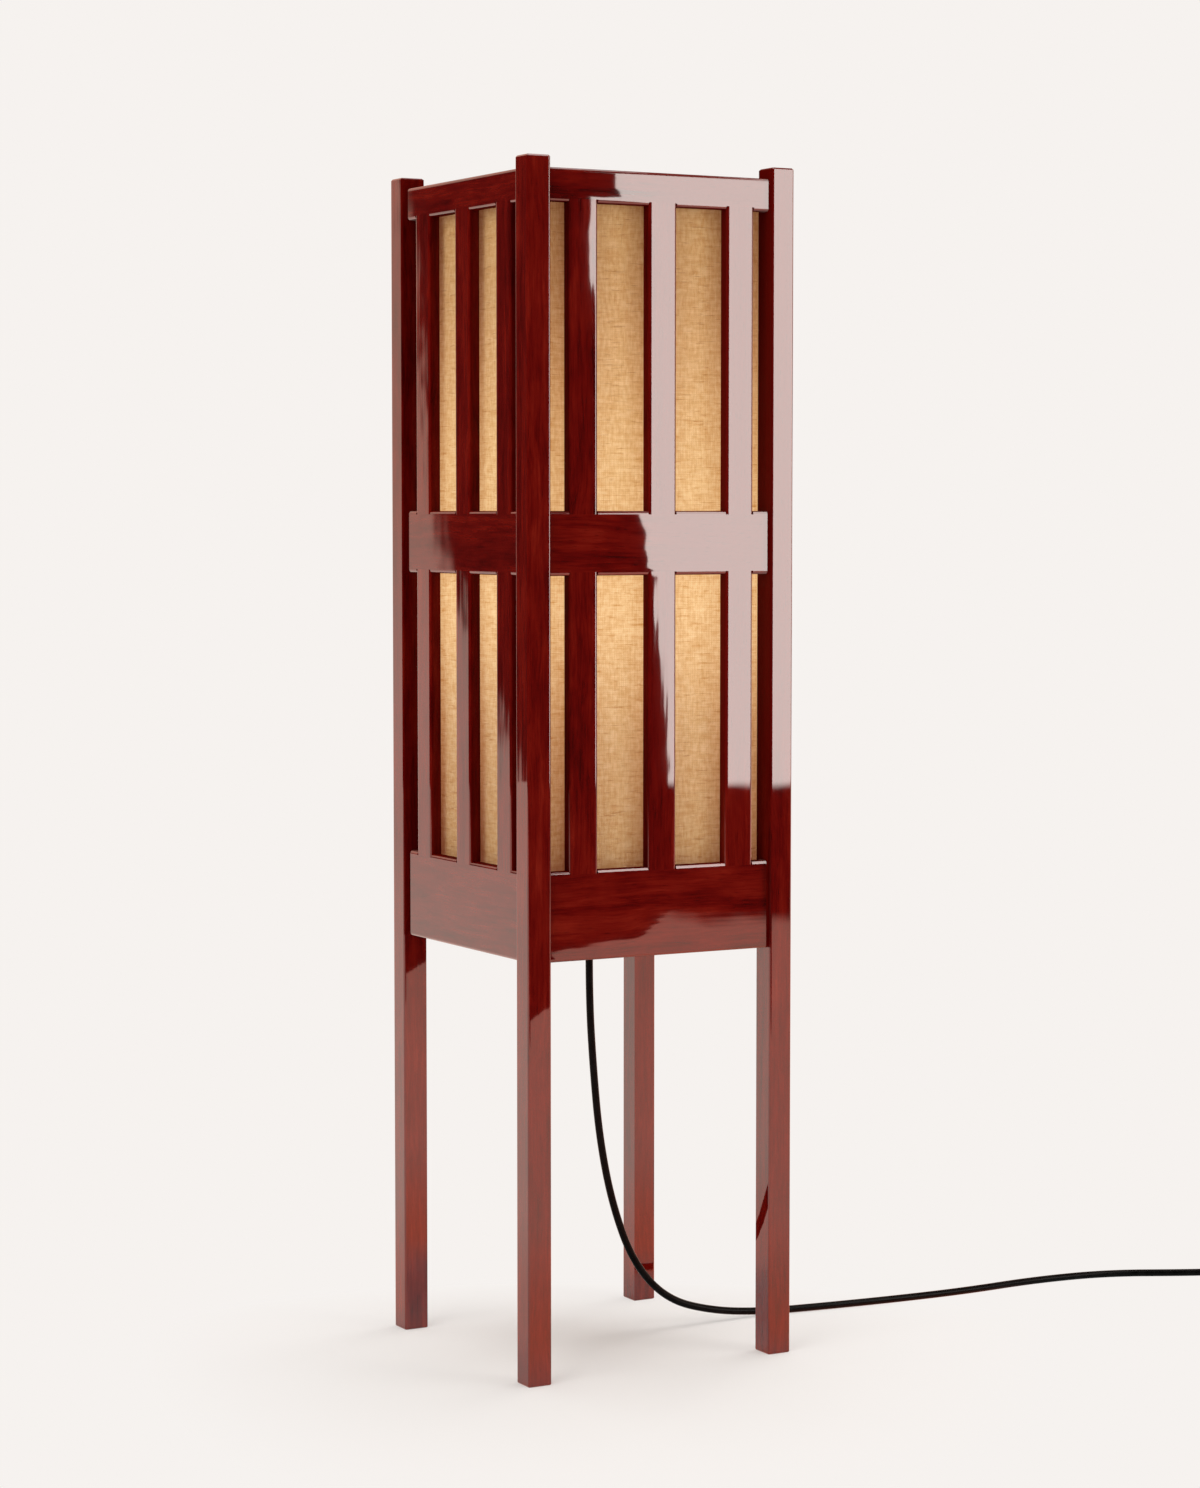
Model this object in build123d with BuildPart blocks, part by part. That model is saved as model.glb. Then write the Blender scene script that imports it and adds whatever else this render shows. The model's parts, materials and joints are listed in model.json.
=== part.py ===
from build123d import *
import os
from math import cos, pi, radians, sin, tan

# A square floor lantern of lacquered wood. Four posts run the full height. Each side is
# a frame of three rails and three upright slats, set back from the posts' faces. A cloth
# shade stands loose inside on a board that also carries the stem, lampholder and bulb.
# Millimetres, +Z up. The origin is on the floor, on the lantern's upright axis, and the
# front faces -Y.

# Driving dimensions of the wooden frame.
height = 1120.0
width = 282.0
post_wide = 24.0
post_arris = 2.0
post_end = 1.5
arris = 3.0
setback = 7.0
rail_thick = 12.0
top_rail = (1079.5, 1110.0)
mid_rail = (742.0, 801.0)
bottom_rail = (389.0, 472.0)
slat_wide = 30.0
slat_pitch = 83.0
slat_shift = 3.5
house_deep = 3.2
tenon_thick = 6.0
tenon_long = 7.5
tenon_shoulder = 5.0
slat_tenon_wide = 22.0
slat_tenon_long = 8.0

# Board, battens and screws inside the bottom rails.
board_top = 424.0
board_thick = 9.0
board_gap = 0.3
cleat_wide = 12.0
cleat_long = 200.0
screw_spread = 160.0
screw_radius = 1.75
screw_head_radius = 3.5
screw_long = 19.0
recess_long = 4.0
recess_wide = 1.0
recess_deep = 1.2

# Cloth shade.
cloth_half = 116.8
cloth_thick = 1.0
stick_wide = 8.0
shade_gap = 0.3
shade_top = 1100.0

# Stem, lampholder and bulb, all on the lantern's axis.
stem_radius = 5.0
stem_bore_radius = 4.0
stem_low = 396.0
stem_engaged = 9.0
nut_across = 14.0
nut_tall = 6.0
flange_radius = 11.0
flange_tall = 1.5
holder_low = 662.0
holder_radius = 20.0
holder_wall = 2.0
holder_base_tall = 22.0
holder_tall = 56.0
neck_radius = 8.0
neck_tall = 8.0
neck_roof = 11.0
core_floor_thick = 8.0
core_step = 3.0
contact_radius = 5.0
contact_tall = 1.6
tongue_long = 5.0
tongue_wide = 4.0
socket_radius = 13.7
socket_wall = 0.6
tip_radius = 4.5
tip_tall = 4.0
cap_radius = 13.2
cap_tall = 24.0
thread_pitch = 3.6
thread_deep = 0.9
glass_radius = 30.0
glass_neck_radius = 13.0
glass_tall = 80.0
glass_wall = 1.0
bulb_gap = 0.4
fine_ease = 0.4

# Cord, its grip, in-line switch, coil, tie and plug.
cord_radius = 3.65
cord_wall = 1.0
grip_top = 406.0
grip_tip = 372.0
collar_low = 392.0
collar_radius = 8.5
shoulder_radius = 6.5
shoulder_drop = 4.0
switch_long = 62.0
switch_wide = 27.0
switch_tall = 17.0
switch_split = 10.2
switch_corner = 7.0
switch_ease = 1.2
case_wall = 3.0
case_floor = 2.0
case_end = 9.0
snout_long = 8.0
snout_root = 1.0
snout_radius = 4.9
rocker_angle = 7.0
rocker_wide = 12.0
rocker_half = 8.4
rocker_top = 4.6
rocker_draw = 0.9
rocker_skirt = -1.0
rocker_keel = -3.0
stub_long = 1.6
window_gap = 0.3
pivot_height = 13.0
pivot_radius = 1.25
running_gap = 0.05
tie_thick = 0.8
tie_angle = 20.0
coil_middle = 40.0
coil_corner = 3.0
tie_from = 150.0
coil_centre = (672.0, -196.0)
plug_long = 26.0
plug_wide = 24.0
plug_tall = 15.0
plug_tail = 24.0
blade_long = 17.5
blade_wide = 6.35
blade_thick = 1.5
blade_spread = 12.7
blade_root = 5.0
blade_hole_radius = 1.5
blade_hole_back = 5.0
grip_count = 4
grip_pitch = 3.5
grip_wide = 1.5
grip_deep = 0.8
plug_corner = 4.0

# The cord's stretches that aren't coiled, point by point, from the grip to the switch,
# from the switch to the coil, and from the coil to the plug.
run_points = [
    (0, 0, 372), (0, 0, 332), (4.3, 0, 265), (11.5, 0.3, 195), (26, 0.6, 128),
    (50, 1, 68), (88, 1.6, 28), (140, 2, 11), (198, 1.5, 3.65), (262, -8, 3.65),
    (345, -17, 3.65), (430, -21, 3.65), (520, -15, 3.65), (606, -25, 3.65),
    (680, -64, 3.65), (725, -89, 5), (749, -99, 5),
]
tail_points = [
    (821, -129, 5), (845, -139, 5), (866, -169, 3.65), (864, -206, 3.65),
    (832, -232, 3.65), (782, -240, 3.65), (724, -238.5, 4), (672, -239.65, 4.45),
]
lead_points = [(679, -156.6, 10.8), (697, -159.6, 9.8), (718, -164.5, 7.5), (736, -170.5, 7.5)]

# Worked-out sizes.
half = width / 2
inner = width - 2 * post_wide
post_at = half - post_wide / 2
rail_back = half - setback - rail_thick
tenon_inset = (rail_thick - tenon_thick) / 2
board_low = board_top - board_thick
rails = {"top": top_rail, "mid": mid_rail, "bottom": bottom_rail}
turns = {"front": 0, "right": 90, "back": 180, "left": 270}
cord_diameter = 2 * cord_radius

os.makedirs("parts", exist_ok=True)


def save(builder, name):
    builder.part.label = name
    export_step(builder.part, f"parts/{name}.step")


def side_plane(side):
    """The upright plane through the axis, facing out of a side, with its x along the side."""
    turn = radians(turns[side])
    return Plane(
        origin=(0, 0, 0),
        x_dir=(cos(turn), sin(turn), 0),
        z_dir=(sin(turn), -cos(turn), 0),
    )


def slat_places(side):
    """How far along a side each slat stands: all of them lean towards +X or +Y."""
    shift = slat_shift if side in ("front", "right") else -slat_shift
    return [place * slat_pitch + shift for place in (-1, 0, 1)]


def rail_front(side):
    return side_plane(side).offset(half - setback)


# ---------------------------------------------------------------- posts
# Three of a post's long edges are rounded. The one towards the shade is left square.
post_signs = {"front_left": (-1, -1), "front_right": (1, -1), "back_left": (-1, 1), "back_right": (1, 1)}
for corner, (sign_x, sign_y) in post_signs.items():
    with BuildPart() as post:
        with BuildSketch(Plane.XY):
            with Locations((sign_x * post_at, sign_y * post_at)):
                Rectangle(post_wide, post_wide)
        extrude(amount=height)
        fillet(post.edges().filter_by(Axis.Z).sort_by_distance((0, 0, 0))[1:], post_arris)
        chamfer(post.faces().sort_by(Axis.Z)[-1].edges(), post_end)
        chamfer(post.faces().sort_by(Axis.Z)[0].edges(), post_end / 2)
        for side in turns:
            for low, high in rails.values():
                with BuildSketch(rail_front(side).offset(-tenon_inset)):
                    with Locations((0, (low + high) / 2)):
                        Rectangle(inner + 2 * tenon_long, high - low - 2 * tenon_shoulder)
                extrude(amount=-tenon_thick, mode=Mode.SUBTRACT)
    save(post, f"post_{corner}")

# ---------------------------------------------------------------- rails
# Each rail has a tenon at both ends. Every slat is housed a little way into the rails'
# edges, so that the rounded arris stops at the slat, and is tenoned or half-lapped there.
for side in turns:
    along = Axis((0, 0, 0), side_plane(side).x_dir)
    for level, (low, high) in rails.items():
        middle = (low + high) / 2
        edges_met = {"top": [low], "mid": [low, high], "bottom": [high]}[level]
        with BuildPart() as rail:
            with BuildSketch(rail_front(side)):
                with Locations((0, middle)):
                    Rectangle(inner, high - low)
            extrude(amount=-rail_thick)
            fillet(rail.edges().filter_by(along), arris)
            with BuildSketch(rail_front(side).offset(-tenon_inset)):
                with Locations((0, middle)):
                    Rectangle(inner + 2 * tenon_long, high - low - 2 * tenon_shoulder)
            extrude(amount=-tenon_thick)
            with BuildSketch(rail_front(side)):
                with Locations(*[(x, z) for x in slat_places(side) for z in edges_met]):
                    Rectangle(slat_wide, 2 * house_deep)
            extrude(amount=-rail_thick, mode=Mode.SUBTRACT)
            if level == "mid":
                with BuildSketch(rail_front(side).offset(-rail_thick / 2)):
                    with Locations(*[(x, middle) for x in slat_places(side)]):
                        Rectangle(slat_wide, high - low)
                extrude(amount=-rail_thick / 2, mode=Mode.SUBTRACT)
            else:
                with BuildSketch(rail_front(side).offset(-tenon_inset)):
                    with Locations(*[(x, edges_met[0]) for x in slat_places(side)]):
                        Rectangle(slat_tenon_wide, 2 * (house_deep + slat_tenon_long))
                extrude(amount=-tenon_thick, mode=Mode.SUBTRACT)
        save(rail, f"{level}_rail_{side}")

# ---------------------------------------------------------------- slats
slat_low = bottom_rail[1] - house_deep
slat_high = top_rail[0] + house_deep
slat_middle = (slat_low + slat_high) / 2
lap_tall = mid_rail[1] - mid_rail[0] - 2 * house_deep
for side in turns:
    for number, place in enumerate(slat_places(side), start=1):
        with BuildPart() as slat:
            with BuildSketch(rail_front(side)):
                with Locations((place, slat_middle)):
                    Rectangle(slat_wide, slat_high - slat_low)
            extrude(amount=-rail_thick)
            fillet(slat.edges().filter_by(Axis.Z), arris)
            with BuildSketch(rail_front(side)):
                with Locations((place, (mid_rail[0] + mid_rail[1]) / 2)):
                    Rectangle(slat_wide, lap_tall)
            extrude(amount=-rail_thick / 2, mode=Mode.SUBTRACT)
            with BuildSketch(rail_front(side).offset(-tenon_inset)):
                with Locations((place, slat_low), (place, slat_high)):
                    Rectangle(slat_tenon_wide, 2 * slat_tenon_long)
            extrude(amount=-tenon_thick)
        save(slat, f"slat_{side}_{number}")

# ---------------------------------------------------------------- board and battens
# The board lies on two battens glued to the left and right bottom rails.
cleat_at = rail_back - cleat_wide / 2
with BuildPart() as cleats:
    with BuildSketch(Plane.XY.offset(board_low)):
        with Locations((-cleat_at, 0), (cleat_at, 0)):
            Rectangle(cleat_wide, cleat_long)
    extrude(amount=-cleat_wide)
    with BuildSketch(Plane.XY.offset(board_low)):
        with GridLocations(2 * cleat_at, screw_spread, 2, 2):
            Circle(screw_radius)
    extrude(amount=board_thick - screw_long, mode=Mode.SUBTRACT)
save(cleats, "board_cleats")

board_half = rail_back - board_gap
corner_notch = board_half - inner / 2 + board_gap
with BuildPart() as base_board:
    with BuildSketch(Plane.XY.offset(board_low)):
        Rectangle(2 * board_half, 2 * board_half)
        with GridLocations(2 * board_half, 2 * board_half, 2, 2):
            Rectangle(2 * corner_notch, 2 * corner_notch, mode=Mode.SUBTRACT)
        Circle(stem_radius + board_gap, mode=Mode.SUBTRACT)
    extrude(amount=board_thick)
    with Locations(Plane.XY.offset(board_top)):
        with GridLocations(2 * cleat_at, screw_spread, 2, 2):
            CounterSinkHole(screw_radius, screw_head_radius, counter_sink_angle=90)
save(base_board, "base_board")

# Countersunk screws, with a cross cut in each head.
head_tall = screw_head_radius - screw_radius
with BuildPart() as board_screws:
    with BuildSketch(Plane.XY.offset(board_top)):
        with GridLocations(2 * cleat_at, screw_spread, 2, 2):
            Circle(screw_radius)
    extrude(amount=-screw_long)
    with BuildSketch(Plane.XY.offset(board_top)):
        with GridLocations(2 * cleat_at, screw_spread, 2, 2):
            Circle(screw_head_radius)
    extrude(amount=-head_tall, taper=45)
    with BuildSketch(Plane.XY.offset(board_top)):
        with GridLocations(2 * cleat_at, screw_spread, 2, 2):
            Rectangle(recess_long, recess_wide)
            Rectangle(recess_wide, recess_long)
    extrude(amount=-recess_deep, mode=Mode.SUBTRACT)
save(board_screws, "board_screws")

# ---------------------------------------------------------------- stem
stem_high = holder_low + stem_engaged
with BuildPart() as stem:
    with BuildSketch(Plane.XY.offset(stem_low)):
        Circle(stem_radius)
        Circle(stem_bore_radius, mode=Mode.SUBTRACT)
    extrude(amount=stem_high - stem_low)
    top_circles = stem.edges().filter_by(GeomType.CIRCLE).group_by(Axis.Z)[-1]
    chamfer(top_circles.sort_by(SortBy.RADIUS)[-1], fine_ease)
save(stem, "stem")

# Two flanged nuts clamp the stem to the board, one above and one below.
with BuildPart() as stem_nuts:
    for face, way in ((board_top, 1), (board_low, -1)):
        with BuildSketch(Plane.XY.offset(face)):
            Circle(flange_radius)
            Circle(stem_radius, mode=Mode.SUBTRACT)
        extrude(amount=way * flange_tall)
        with BuildSketch(Plane.XY.offset(face + way * flange_tall)):
            RegularPolygon(nut_across / 2, 6, major_radius=False)
            Circle(stem_radius, mode=Mode.SUBTRACT)
        extrude(amount=way * nut_tall)
save(stem_nuts, "stem_nuts")

# ---------------------------------------------------------------- lampholder
base_high = holder_low + holder_base_tall
shell_high = holder_low + holder_tall
neck_high = holder_low + neck_tall
roof_low = holder_low + neck_roof
core_radius = holder_radius - holder_wall
with BuildPart() as holder_base:
    with BuildSketch(Plane.XZ):
        with BuildLine():
            Polyline((stem_radius, holder_low), (neck_radius, holder_low), (neck_radius, neck_high))
            Spline((neck_radius, neck_high), (holder_radius, base_high), tangents=((1, 0.6), (0, 1)))
            Line((holder_radius, base_high), (core_radius, base_high))
            Spline((core_radius, base_high), (stem_radius, roof_low), tangents=((0, -1), (-1, -0.4)))
            Line((stem_radius, roof_low), (stem_radius, holder_low))
        make_face()
    revolve(axis=Axis.Z)
save(holder_base, "holder_base")

with BuildPart() as holder_shell:
    with BuildSketch(Plane.XY.offset(base_high)):
        Circle(holder_radius)
        Circle(core_radius, mode=Mode.SUBTRACT)
    extrude(amount=shell_high - base_high)
    fillet(holder_shell.edges().filter_by(GeomType.CIRCLE).group_by(Axis.Z)[-1], 2 * fine_ease)
save(holder_shell, "holder_shell")

# A ceramic cup inside the shell holds the threaded sleeve and the contact.
core_floor = base_high + core_floor_thick
core_high = shell_high - core_step
with BuildPart() as holder_core:
    with BuildSketch(Plane.XY.offset(base_high)):
        Circle(core_radius)
    extrude(amount=core_high - base_high)
    with BuildSketch(Plane.XY.offset(core_floor)):
        Circle(socket_radius + socket_wall)
    extrude(amount=core_high - core_floor, mode=Mode.SUBTRACT)
    fillet(holder_core.edges().filter_by(GeomType.CIRCLE).group_by(Axis.Z)[-1], fine_ease)
save(holder_core, "holder_core")

with BuildPart() as holder_thread:
    with BuildSketch(Plane.XY.offset(core_floor)):
        Circle(socket_radius + socket_wall)
        Circle(socket_radius, mode=Mode.SUBTRACT)
    extrude(amount=core_high - socket_wall - core_floor)
save(holder_thread, "holder_thread")

with BuildPart() as holder_contact:
    with BuildSketch(Plane.XY.offset(core_floor)):
        Circle(contact_radius)
        with Locations((contact_radius, 0)):
            Rectangle(2 * tongue_long, tongue_wide)
    extrude(amount=contact_tall)
    fillet(holder_contact.edges().group_by(Axis.Z)[-1], fine_ease)
save(holder_contact, "holder_contact")

# ---------------------------------------------------------------- bulb
tip_low = core_floor + contact_tall + bulb_gap
cap_low = tip_low + tip_tall
cap_high = cap_low + cap_tall
cap_core = cap_radius - thread_deep
with BuildPart() as bulb_tip:
    with BuildSketch(Plane.XZ):
        with BuildLine():
            Polyline(
                (0, cap_low),
                (0, tip_low),
                (tip_radius, tip_low),
                (tip_radius, tip_low + thread_deep),
                (cap_core - thread_deep, cap_low),
                close=True,
            )
        make_face()
    revolve(axis=Axis.Z)
save(bulb_tip, "bulb_tip")

# The cap's thread is drawn as rings one pitch apart.
thread_rings = int(cap_tall / thread_pitch) - 1
with BuildPart() as bulb_cap:
    with BuildSketch(Plane.XY.offset(cap_low)):
        Circle(cap_core)
    extrude(amount=cap_tall)
    for ring in range(thread_rings):
        ring_height = cap_low + thread_pitch * (ring + 1)
        with BuildSketch(Plane.XZ):
            with Locations((cap_core, ring_height)):
                Circle(thread_deep)
        revolve(axis=Axis.Z)
    fillet(bulb_cap.edges().filter_by(GeomType.CIRCLE).group_by(Axis.Z)[0], fine_ease)
save(bulb_cap, "bulb_cap")


# The glass is a thin shell, open at its neck, where the cap closes it.
glass_middle = cap_high + glass_tall - glass_radius
with BuildPart() as bulb_glass:
    for inset, mode in ((0, Mode.ADD), (glass_wall, Mode.SUBTRACT)):
        neck = glass_neck_radius - inset
        wide = glass_radius - inset
        with BuildSketch(Plane.XZ):
            with BuildLine():
                Line((0, cap_high), (neck, cap_high))
                Spline((neck, cap_high), (wide, glass_middle), tangents=((0, 1), (0, 1)))
                RadiusArc((wide, glass_middle), (0, glass_middle + wide), -wide)
                Line((0, glass_middle + wide), (0, cap_high))
            make_face()
        revolve(axis=Axis.Z, mode=mode)
save(bulb_glass, "bulb_glass")

# ---------------------------------------------------------------- cloth shade
# Four sheets of cloth are glued round a light frame of sticks.
shade_low = board_top + shade_gap
cloth_inner = cloth_half - cloth_thick
for side in turns:
    covers_corner = side in ("front", "back")
    cloth_wide = 2 * (cloth_half if covers_corner else cloth_inner)
    with BuildPart() as cloth:
        with BuildSketch(side_plane(side).offset(cloth_inner)):
            with Locations((0, (shade_low + shade_top) / 2)):
                Rectangle(cloth_wide, shade_top - shade_low)
        extrude(amount=cloth_thick)
    save(cloth, f"shade_cloth_{side}")

stick_at = cloth_inner - stick_wide / 2
with BuildPart() as shade_uprights:
    with BuildSketch(Plane.XY.offset(shade_low)):
        with GridLocations(2 * stick_at, 2 * stick_at, 2, 2):
            Rectangle(stick_wide, stick_wide)
    extrude(amount=shade_top - shade_low)
save(shade_uprights, "shade_uprights")

for level, low in (("bottom", shade_low), ("top", shade_top - stick_wide)):
    with BuildPart() as sticks:
        for side in turns:
            with BuildSketch(side_plane(side).offset(cloth_inner)):
                with Locations((0, low + stick_wide / 2)):
                    Rectangle(2 * (stick_at - stick_wide / 2), stick_wide)
            extrude(amount=-stick_wide)
    save(sticks, f"shade_sticks_{level}")

# ---------------------------------------------------------------- cord grip
# The grip screws on to the stem's lower end and tapers down round the cord.
with BuildPart() as cord_grip:
    with BuildSketch(Plane.XZ):
        with BuildLine():
            Polyline(
                (cord_radius, grip_tip),
                (cord_radius + cord_wall, grip_tip),
                (shoulder_radius, collar_low - shoulder_drop),
                (collar_radius, collar_low),
                (collar_radius, grip_top),
                (stem_radius, grip_top),
                (stem_radius, stem_low),
                (cord_radius, stem_low),
                close=True,
            )
        make_face()
    revolve(axis=Axis.Z)
save(cord_grip, "cord_grip")

with BuildPart() as lead_in_stem:
    with BuildSketch(Plane.XY.offset(grip_tip)):
        Circle(cord_radius)
    extrude(amount=stem_high - grip_tip)
save(lead_in_stem, "lead_in_stem")


# ---------------------------------------------------------------- cord
def cord_tube(points, name):
    """A tube of straight runs joined by arcs as large as the runs allow."""
    points = [Vector(point) for point in points]
    runs = [after - before for before, after in zip(points, points[1:])]
    radii = []
    for before, after in zip(runs, runs[1:]):
        turn = radians(before.get_angle(after))
        radii.append(0.45 * min(before.length, after.length) / tan(turn / 2))
    path = FilletPolyline(*points, radius=radii)
    with BuildPart() as tube:
        add(path)
        with BuildSketch(Plane(origin=points[0], z_dir=runs[0])):
            Circle(cord_radius)
        sweep(path=path)
    wanted = pi * cord_radius**2 * path.length
    print(name, "length", round(path.length, 1), "volume share", round(tube.part.volume / wanted, 4))
    print("  runs", [round(run.length) for run in runs])
    print("  radii", [round(radius) for radius in radii])
    save(tube, name)


cord_tube(run_points, "cord_run")
cord_tube(tail_points, "cord_tail")
cord_tube(lead_points, "cord_lead")

# The coil's turns lie two side by side with one in the groove above, and a tie lifts
# them clear of the floor by its own thickness.
coil_plane = Plane(origin=(*coil_centre, 0), x_dir=(1, 0, 0), z_dir=(0, -1, 0))
coil_axis = Axis((*coil_centre, 0), (0, 0, 1))
coil_wide = 2 * cord_diameter
coil_tall = cord_diameter + cord_diameter * sin(radians(60))
with BuildPart() as cord_coil:
    with BuildSketch(coil_plane):
        with Locations((coil_middle, tie_thick + coil_tall / 2)):
            RectangleRounded(coil_wide, coil_tall, coil_corner)
    revolve(axis=coil_axis)
save(cord_coil, "cord_coil")

tie_start = radians(tie_from)
tie_plane = Plane(
    origin=(*coil_centre, 0),
    x_dir=(cos(tie_start), sin(tie_start), 0),
    z_dir=(sin(tie_start), -cos(tie_start), 0),
)
with BuildPart() as coil_tie:
    with BuildSketch(tie_plane):
        with Locations((coil_middle, tie_thick + coil_tall / 2)):
            RectangleRounded(coil_wide + 2 * tie_thick, coil_tall + 2 * tie_thick, coil_corner + tie_thick)
            RectangleRounded(coil_wide, coil_tall, coil_corner, mode=Mode.SUBTRACT)
    revolve(axis=coil_axis, revolution_arc=tie_angle)
save(coil_tie, "coil_tie")

# ---------------------------------------------------------------- in-line switch
switch_end = Vector(run_points[-1])
switch_way = (Vector(tail_points[0]) - switch_end).normalized()
switch_middle = (Vector(tail_points[0]) + switch_end) / 2
switch_plane = Plane(
    origin=(switch_middle.X, switch_middle.Y, 0), x_dir=switch_way, z_dir=(0, 0, 1)
)
window_long = 2 * rocker_half + 4 * window_gap
window_wide = rocker_wide + 2 * window_gap
with BuildPart() as switch_case:
    with BuildSketch(switch_plane):
        RectangleRounded(switch_long, switch_wide, switch_corner)
    extrude(amount=switch_split)
    fillet(switch_case.faces().sort_by(Axis.Z)[0].edges(), switch_ease)
    with BuildSketch(switch_plane.offset(switch_split)):
        RectangleRounded(switch_long - 2 * case_end, switch_wide - 2 * case_wall, case_wall)
    extrude(amount=case_floor - switch_split, mode=Mode.SUBTRACT)
    for way in (-1, 1):
        root = switch_middle + switch_way * way * (switch_long / 2 - snout_root)
        port = Plane(origin=root, z_dir=switch_way * way)
        with BuildSketch(port):
            Circle(snout_radius)
        with BuildSketch(port.offset(snout_root + snout_long)):
            Circle(cord_radius + cord_wall / 2)
        loft()
save(switch_case, "switch_case")

with BuildPart() as switch_cover:
    with BuildSketch(switch_plane.offset(switch_split)):
        RectangleRounded(switch_long, switch_wide, switch_corner)
    extrude(amount=switch_tall - switch_split)
    fillet(switch_cover.faces().sort_by(Axis.Z)[-1].edges(), 2 * switch_ease)
    with BuildSketch(switch_plane.offset(switch_split)):
        Rectangle(window_long, window_wide)
    extrude(amount=switch_tall - switch_split, mode=Mode.SUBTRACT)
    pivot_wall = Plane(
        origin=(switch_middle.X, switch_middle.Y, pivot_height),
        x_dir=switch_way,
        z_dir=switch_way.cross(Vector(0, 0, 1)),
    )
    with BuildSketch(pivot_wall):
        Circle(pivot_radius + running_gap)
    extrude(amount=rocker_wide / 2 + stub_long + window_gap, both=True, mode=Mode.SUBTRACT)
save(switch_cover, "switch_cover")

# The rocker stands tipped to its on side; its two faces meet in a shallow vee.
rocker_rise = rocker_half * tan(radians(rocker_angle))
rocker_tilt = radians(rocker_angle)
rocker_plane = Plane(
    origin=pivot_wall.origin,
    x_dir=switch_way * cos(rocker_tilt) - Vector(0, 0, sin(rocker_tilt)),
    z_dir=pivot_wall.z_dir,
)
with BuildPart() as switch_rocker:
    with BuildSketch(rocker_plane):
        with BuildLine():
            Polyline(
                (0, rocker_top),
                (rocker_half - rocker_draw, rocker_top + rocker_rise),
                (rocker_half, rocker_skirt),
                (-rocker_keel, rocker_keel),
                (rocker_keel, rocker_keel),
                (-rocker_half, rocker_skirt),
                (rocker_draw - rocker_half, rocker_top + rocker_rise),
                close=True,
            )
        make_face()
    extrude(amount=rocker_wide / 2, both=True)
    fillet(switch_rocker.edges().group_by(Axis.Z)[-1], fine_ease)
    with BuildSketch(rocker_plane):
        Circle(pivot_radius)
    extrude(amount=rocker_wide / 2 + stub_long, both=True)
save(switch_rocker, "switch_rocker")

# ---------------------------------------------------------------- plug
# A two-blade plug, lying on its broad side.
tail_end = Vector(lead_points[-1])
plug_way = (tail_end - Vector(lead_points[-2])).normalized()
tail_plane = Plane(origin=tail_end, z_dir=plug_way)
body_start = tail_end + plug_way * plug_tail
body_plane = Plane(origin=body_start, x_dir=plug_way.cross(Vector(0, 0, 1)), z_dir=plug_way)
with BuildPart() as plug_body:
    with BuildSketch(body_plane):
        RectangleRounded(plug_wide, plug_tall, plug_corner)
    extrude(amount=plug_long)
    for groove in range(grip_count):
        with BuildSketch(body_plane.offset(grip_pitch * (groove + 1))):
            Rectangle(2 * plug_wide, 2 * plug_tall)
            Rectangle(plug_wide - 2 * grip_deep, 3 * plug_tall, mode=Mode.SUBTRACT)
        extrude(amount=grip_wide, mode=Mode.SUBTRACT)
    chamfer(plug_body.faces().sort_by(Axis(body_start, plug_way))[0].edges(), switch_ease)
    with BuildSketch(tail_plane):
        Circle(cord_radius + cord_wall / 2)
    with BuildSketch(tail_plane.offset(plug_tail + switch_ease)):
        Circle(plug_tall / 2 - switch_ease)
    loft()
    with BuildSketch(body_plane.offset(plug_long)):
        with Locations((-blade_spread / 2, 0), (blade_spread / 2, 0)):
            Rectangle(blade_thick, blade_wide)
    extrude(amount=-blade_root, mode=Mode.SUBTRACT)
save(plug_body, "plug_body")

blade_plane = Plane(
    origin=body_start + plug_way * plug_long,
    x_dir=plug_way,
    z_dir=plug_way.cross(Vector(0, 0, 1)),
)
with BuildPart() as plug_blades:
    with BuildSketch(body_plane.offset(plug_long)):
        with Locations((-blade_spread / 2, 0), (blade_spread / 2, 0)):
            Rectangle(blade_thick, blade_wide)
    extrude(amount=blade_long)
    extrude(plug_blades.faces().sort_by(Axis(body_start, plug_way))[:2], amount=blade_root)
    chamfer(plug_blades.faces().sort_by(Axis(body_start, plug_way))[-2:].edges(), fine_ease)
    with BuildSketch(blade_plane):
        with Locations((blade_long - blade_hole_back, 0)):
            Circle(blade_hole_radius)
    extrude(amount=blade_spread, both=True, mode=Mode.SUBTRACT)
save(plug_blades, "plug_blades")

# The coil holds two turns and a half of the cord, at its middle radius.
coil_turns = 2.5
coiled = coil_turns * 2 * pi * coil_middle
print("cord_coil holds", round(coiled), "of cord")
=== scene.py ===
import json
import math

import bpy
from mathutils import Matrix, Vector, noise

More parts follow.
